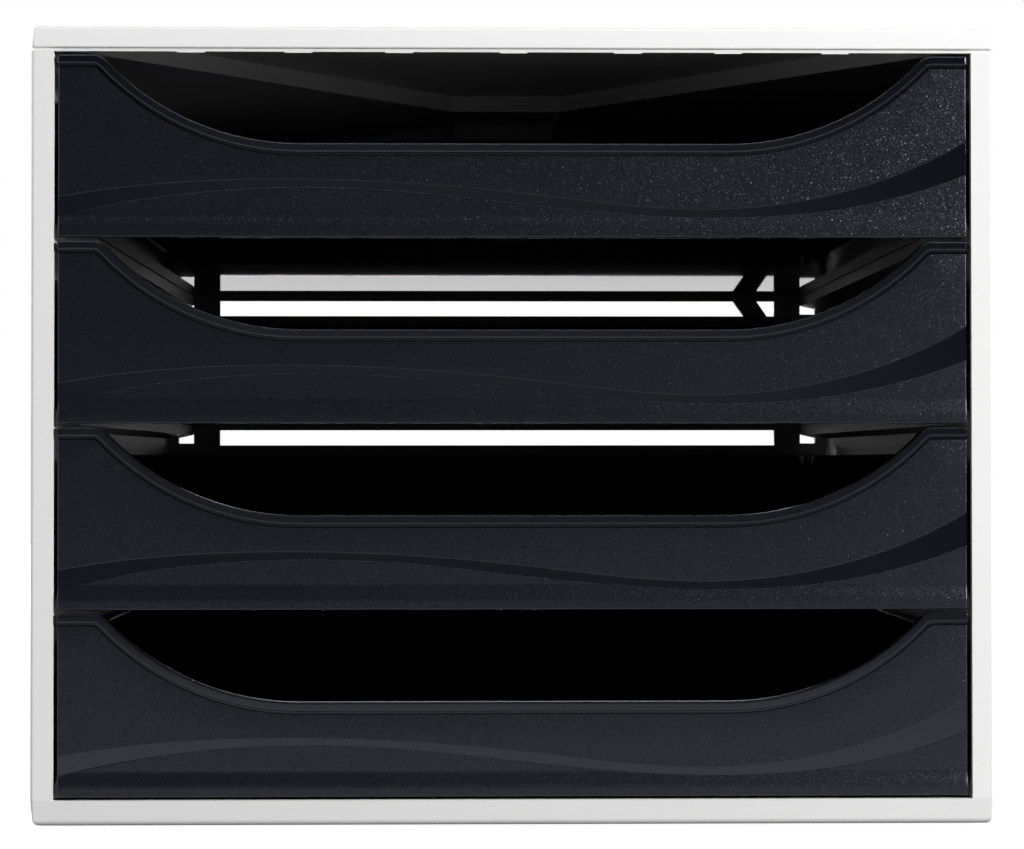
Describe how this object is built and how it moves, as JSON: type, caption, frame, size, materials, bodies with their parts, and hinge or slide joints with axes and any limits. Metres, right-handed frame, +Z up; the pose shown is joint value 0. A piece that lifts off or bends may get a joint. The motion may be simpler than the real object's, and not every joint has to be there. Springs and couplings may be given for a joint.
{
  "type": "letter tray stack with drawers",
  "caption": "Desktop drawer box: a light grey snap-together casing round open, scoop-fronted letter drawers that slide out on moulded runners.",
  "frame": {"origin": "under the middle of the box, on the surface its feet stand on", "axes": "+Z up, -Y the way the drawer fronts face and open, +X to the right as one faces the fronts"},
  "size_m": [0.284, 0.348, 0.2363],
  "materials": {
    "casing_plastic": "fine satin, light grey",
    "drawer_plastic": "blue-black, finely textured face with a smooth wave and bead",
    "foot_rubber": "plain dark rubber"
  },
  "bodies": {
    "casing": {"top_cover": "casing_plastic", "base_plate": "casing_plastic", "side_panel_left": "casing_plastic", "side_panel_right": "casing_plastic", "back_panel": "casing_plastic", "foot_front_left": "foot_rubber", "foot_front_right": "foot_rubber", "foot_rear_left": "foot_rubber", "foot_rear_right": "foot_rubber"},
    "drawer_1": {"drawer_1": "drawer_plastic"},
    "drawer_2": {"drawer_2": "drawer_plastic"},
    "drawer_3": {"drawer_3": "drawer_plastic"},
    "drawer_4": {"drawer_4": "drawer_plastic"}
  },
  "joints": [
    {"name": "drawer_1_slide", "type": "slide", "parent": "casing", "child": "drawer_1", "axis": [0, -1, 0], "range_m": [0, 0.25]},
    {"name": "drawer_2_slide", "type": "slide", "parent": "casing", "child": "drawer_2", "axis": [0, -1, 0], "range_m": [0, 0.25]},
    {"name": "drawer_3_slide", "type": "slide", "parent": "casing", "child": "drawer_3", "axis": [0, -1, 0], "range_m": [0, 0.25]},
    {"name": "drawer_4_slide", "type": "slide", "parent": "casing", "child": "drawer_4", "axis": [0, -1, 0], "range_m": [0, 0.25]}
  ]
}
